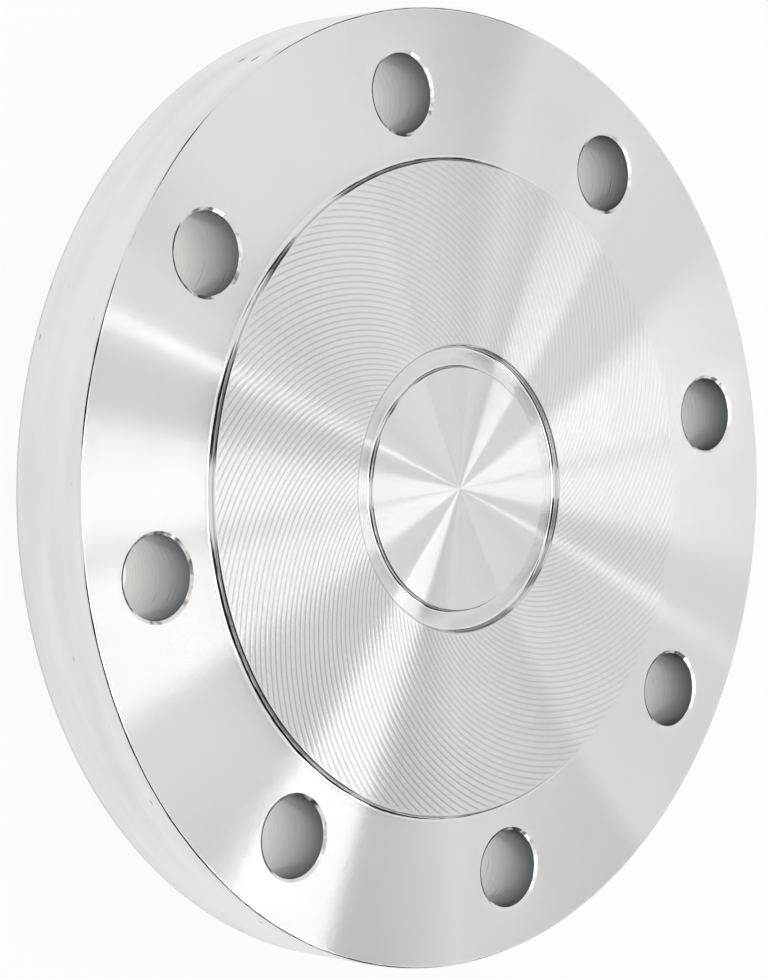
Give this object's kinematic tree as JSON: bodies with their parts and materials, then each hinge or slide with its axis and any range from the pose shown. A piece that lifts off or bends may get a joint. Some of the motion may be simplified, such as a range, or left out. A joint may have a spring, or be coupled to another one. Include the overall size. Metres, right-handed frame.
{
  "type": "blind flange",
  "caption": "Round stainless steel blind flange with a raised, fine-turned sealing face, a smooth centre disc and bolt holes round the rim.",
  "frame": {"origin": "centre of the flat back face, which the flange lies on", "axes": "+Z along the flange's axis, out of the raised sealing face; the bolt holes straddle +X and +Y"},
  "size_m": [0.23, 0.23, 0.0246],
  "materials": {
    "steel": "fine-turned, bright"
  },
  "bodies": {
    "root": {"flange": "steel"}
  },
  "joints": []
}
